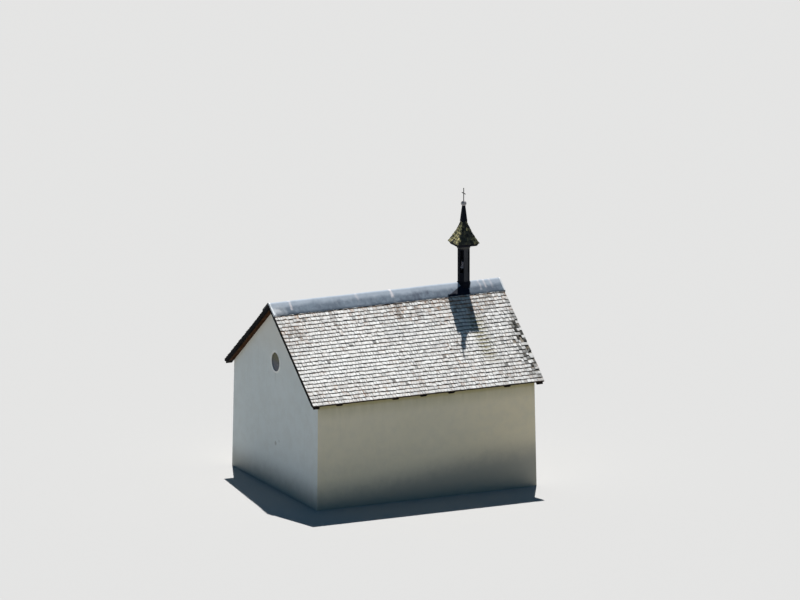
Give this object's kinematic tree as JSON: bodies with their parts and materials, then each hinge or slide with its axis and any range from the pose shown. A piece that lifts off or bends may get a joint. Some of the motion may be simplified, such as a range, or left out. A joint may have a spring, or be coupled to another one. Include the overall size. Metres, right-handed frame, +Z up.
{
  "type": "small chapel with a bell turret",
  "caption": "Small plastered masonry chapel with a steep shingled gable roof, a metal-sheeted ridge, a round gable window and a slender bell turret.",
  "frame": {"origin": "middle of the plan at the foot of the walls, on the level they stand on", "axes": "+Z up, X across the chapel with the pictured long side at +X, Y along the ridge with the round window's gable at -Y"},
  "size_m": [6, 7.082, 7.9893],
  "materials": {
    "plaster": "lime plaster, weathered, faintly stained under the eaves",
    "floor_stone": "worn stone",
    "dark_wood": "old boards, nearly black",
    "roof_timber": "aged softwood, brown",
    "shingles": "split softwood shingles, silvered, with lichen and dark edges",
    "turret_wood": "weathered boards, dark, partly silvered",
    "turret_panel": "smooth boards, grey",
    "ridge_sheet": "dull grey sheet metal, mottled",
    "spire_sheet": "dark sheet metal",
    "ball_metal": "worn sheet metal, paler on top",
    "wrought_iron": "black wrought iron",
    "bell_bronze": "dull bell bronze",
    "window_ring": "pale plastered ring",
    "window_glass": "dark old glass"
  },
  "bodies": {
    "root": {"left_side_wall": "plaster", "right_side_wall": "plaster", "window_gable_wall": "plaster", "entrance_gable_wall": "plaster", "nave_floor": "floor_stone", "door_sill": "floor_stone", "door_frame": "dark_wood", "door_leaf": "dark_wood", "door_latch": "wrought_iron", "door_hinges": "wrought_iron", "round_window_frame": "window_ring", "round_window_glass": "window_glass", "left_wall_plate": "roof_timber", "right_wall_plate": "roof_timber", "ridge_beam": "roof_timber", "left_rafters": "roof_timber", "right_rafters": "roof_timber", "left_roof_boarding": "roof_timber", "right_roof_boarding": "roof_timber", "left_shingles": "shingles", "right_shingles": "shingles", "left_eave_board": "dark_wood", "right_eave_board": "dark_wood", "left_window_verge_board": "dark_wood", "right_window_verge_board": "dark_wood", "left_entrance_verge_board": "dark_wood", "right_entrance_verge_board": "dark_wood", "ridge_flashing": "ridge_sheet", "ridge_batten": "roof_timber", "turret_shaft": "turret_wood", "ridge_end_strips": "ridge_sheet", "turret_skirt": "ridge_sheet", "turret_panels": "turret_panel", "turret_frieze": "turret_wood", "bell": "bell_bronze", "bell_yoke": "turret_wood", "turret_cap": "shingles", "turret_spire": "spire_sheet", "turret_ball": "ball_metal", "turret_cross": "wrought_iron"}
  },
  "joints": []
}
